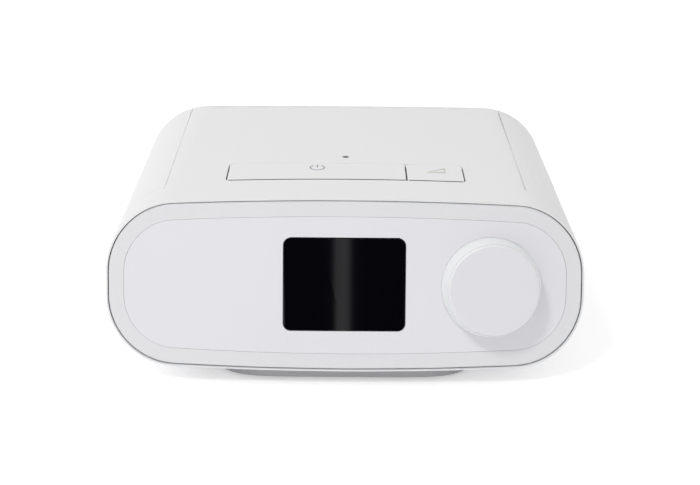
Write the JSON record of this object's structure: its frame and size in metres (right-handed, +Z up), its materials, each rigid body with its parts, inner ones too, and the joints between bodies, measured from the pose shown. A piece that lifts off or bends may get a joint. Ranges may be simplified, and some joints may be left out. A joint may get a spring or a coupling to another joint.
{
  "type": "cpap machine",
  "caption": "Bedside positive airway pressure machine with a leaned display front, push-and-turn dial, rocking top buttons, side filter door and rear air outlet.",
  "frame": {"origin": "centre of the bounding box's bottom face, on the surface under the four feet", "axes": "+X to the machine's right as seen from the front, +Y towards the air outlet at the rear, +Z up"},
  "size_m": [0.193, 0.1613, 0.083],
  "materials": {
    "button_white": "satin",
    "capacitor_can": "sleeved",
    "card_label": "satin",
    "circuit_board": "solder mask",
    "cool_white_overlay": "satin",
    "copper_winding": "enamelled wire",
    "dark_plastic": "moulded",
    "dial_white": "satin",
    "display_black": "gloss",
    "duct_plastic": "moulded",
    "fine_filter_paper": "pleated paper",
    "grey_rubber": "matt",
    "magnet": "bonded",
    "motor_lead": "matt",
    "pollen_fleece": "open fibre",
    "port_grey": "moulded",
    "rear_grey": "fine moulded texture",
    "ribbon_cable": "satin",
    "screw_zinc": "plated",
    "sensor_window": "satin",
    "sleeve_silicone": "satin",
    "socket_steel": "pressed sheet",
    "sound_foam": "open cell",
    "steel": "ground",
    "white_case": "fine moulded texture",
    "white_panel": "satin"
  },
  "bodies": {
    "housing": {"accessory_bay": "duct_plastic", "accessory_connector": "dark_plastic", "blower_base": "dark_plastic", "blower_boot": "grey_rubber", "blower_cover": "dark_plastic", "button_board": "circuit_board", "button_ribbon": "ribbon_cable", "capacitor_1": "capacitor_can", "capacitor_2": "capacitor_can", "case_screw_1": "screw_zinc", "case_screw_2": "screw_zinc", "case_screw_3": "screw_zinc", "case_screw_4": "screw_zinc", "choke_coil": "copper_winding", "dc_power_jack": "dark_plastic", "dial_encoder": "dark_plastic", "display_board": "circuit_board", "display_lens": "display_black", "display_module": "dark_plastic", "display_ribbon": "ribbon_cable", "filter_duct": "duct_plastic", "fine_filter": "fine_filter_paper", "flow_sensor": "sensor_window", "foot_1": "grey_rubber", "foot_2": "grey_rubber", "foot_3": "grey_rubber", "foot_4": "grey_rubber", "front_overlay": "cool_white_overlay", "front_panel": "white_panel", "heater_connector": "dark_plastic", "light_sensor_lens": "sensor_window", "lower_case": "white_panel", "main_board": "circuit_board", "motor_housing": "screw_zinc", "motor_lead": "motor_lead", "motor_stator": "copper_winding", "outlet_port": "port_grey", "outlet_sleeve": "sleeve_silicone", "pollen_filter": "pollen_fleece", "power_board": "circuit_board", "power_switch": "sensor_window", "processor_chip": "dark_plastic", "ramp_switch": "sensor_window", "rear_panel": "rear_grey", "sd_socket": "socket_steel", "sound_foam_lower": "sound_foam", "sound_foam_upper": "sound_foam", "sounder": "dark_plastic", "upper_case": "white_case"},
    "dial_plunger": {"dial_plunger": "dark_plastic"},
    "dial": {"control_dial": "dial_white", "dial_shaft": "steel"},
    "power_button": {"power_button": "button_white"},
    "ramp_button": {"ramp_button": "button_white"},
    "filter_door": {"filter_door": "white_case"},
    "accessory_cover": {"accessory_cover": "white_case"},
    "sd_card": {"sd_card": "card_label"},
    "rotor": {"impeller": "duct_plastic", "motor_shaft": "steel", "rotor_magnet": "magnet"}
  },
  "joints": [
    {"name": "dial_push", "type": "slide", "parent": "housing", "child": "dial_plunger", "axis": [0, 0.9724, -0.2334], "range_m": [0, 0.0007], "stiffness_N_per_m": 3000},
    {"name": "dial_turn", "type": "hinge", "parent": "dial_plunger", "child": "dial", "pos_m": [0.0587, -0.06502, 0.04044], "axis": [0, -0.9724, 0.2334], "continuous": true},
    {"name": "power_button_press", "type": "hinge", "parent": "housing", "child": "power_button", "pos_m": [-0.012, -0.0126, 0.07392], "axis": [1, 0, 0], "range_deg": [0, 2.8], "stiffness_Nm_per_rad": 0.8},
    {"name": "ramp_button_press", "type": "hinge", "parent": "housing", "child": "ramp_button", "pos_m": [0.0377, -0.0126, 0.07392], "axis": [1, 0, 0], "range_deg": [0, 2.8], "stiffness_Nm_per_rad": 0.8},
    {"name": "door_hinge", "type": "hinge", "parent": "housing", "child": "filter_door", "pos_m": [0.07476, -0.03854, 0.0719], "axis": [0.0008, -0.9974, -0.0716], "range_deg": [0, 70]},
    {"name": "cover_pull", "type": "slide", "parent": "housing", "child": "accessory_cover", "axis": [-1, 0, 0], "range_m": [0, 0.025]},
    {"name": "card_push", "type": "slide", "parent": "housing", "child": "sd_card", "axis": [-1, 0, 0], "range_m": [0, 0.001], "stiffness_N_per_m": 500},
    {"name": "impeller_spin", "type": "hinge", "parent": "housing", "child": "rotor", "pos_m": [-0.0075, 0.01726, 0.0317], "axis": [0, 0, 1], "continuous": true}
  ]
}
